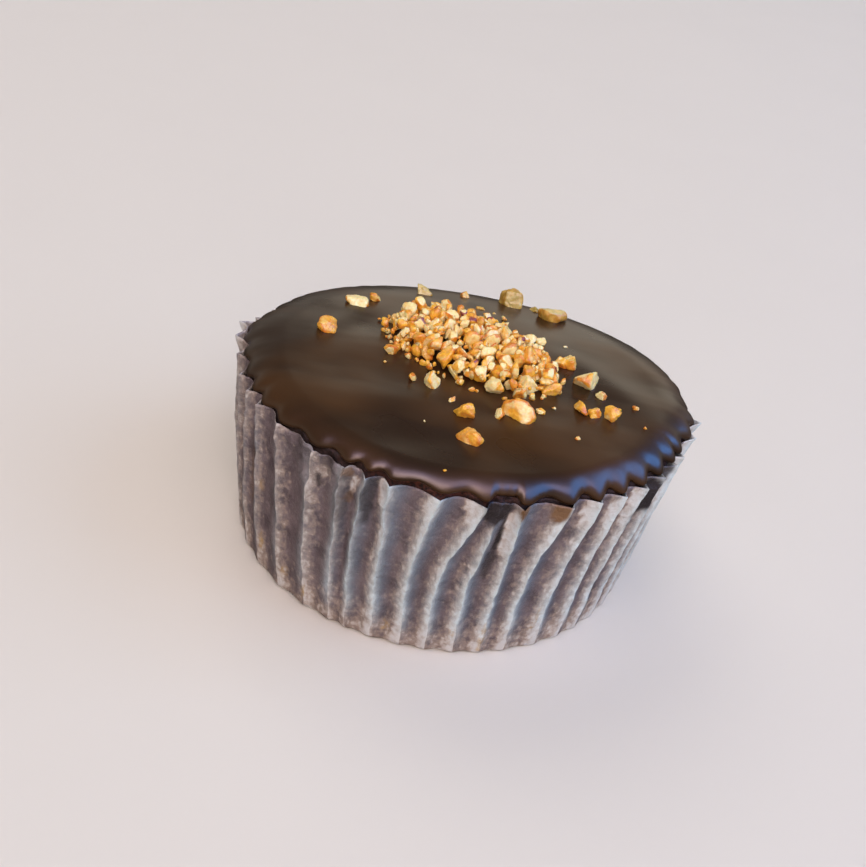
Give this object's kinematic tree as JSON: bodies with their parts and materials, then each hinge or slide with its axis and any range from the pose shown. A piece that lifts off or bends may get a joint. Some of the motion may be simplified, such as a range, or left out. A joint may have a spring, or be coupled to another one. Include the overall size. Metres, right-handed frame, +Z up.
{
  "type": "chocolate cake",
  "caption": "Small round chocolate cake in its pleated paper case, covered with smooth dark icing and topped with a heap of chopped nuts.",
  "frame": {"origin": "centre of the paper case's flat underside, on the surface that the cake stands on", "axes": "+Z up; -Y towards the side that the picture shows; +X to the right of that view"},
  "size_m": [0.0586, 0.0564, 0.0299],
  "materials": {
    "paper": "matte",
    "crumb": "matte",
    "icing": "satin",
    "nuts": "satin"
  },
  "bodies": {
    "root": {"paper_case": "paper", "cake": "crumb", "chocolate_icing": "icing"}
  },
  "joints": []
}
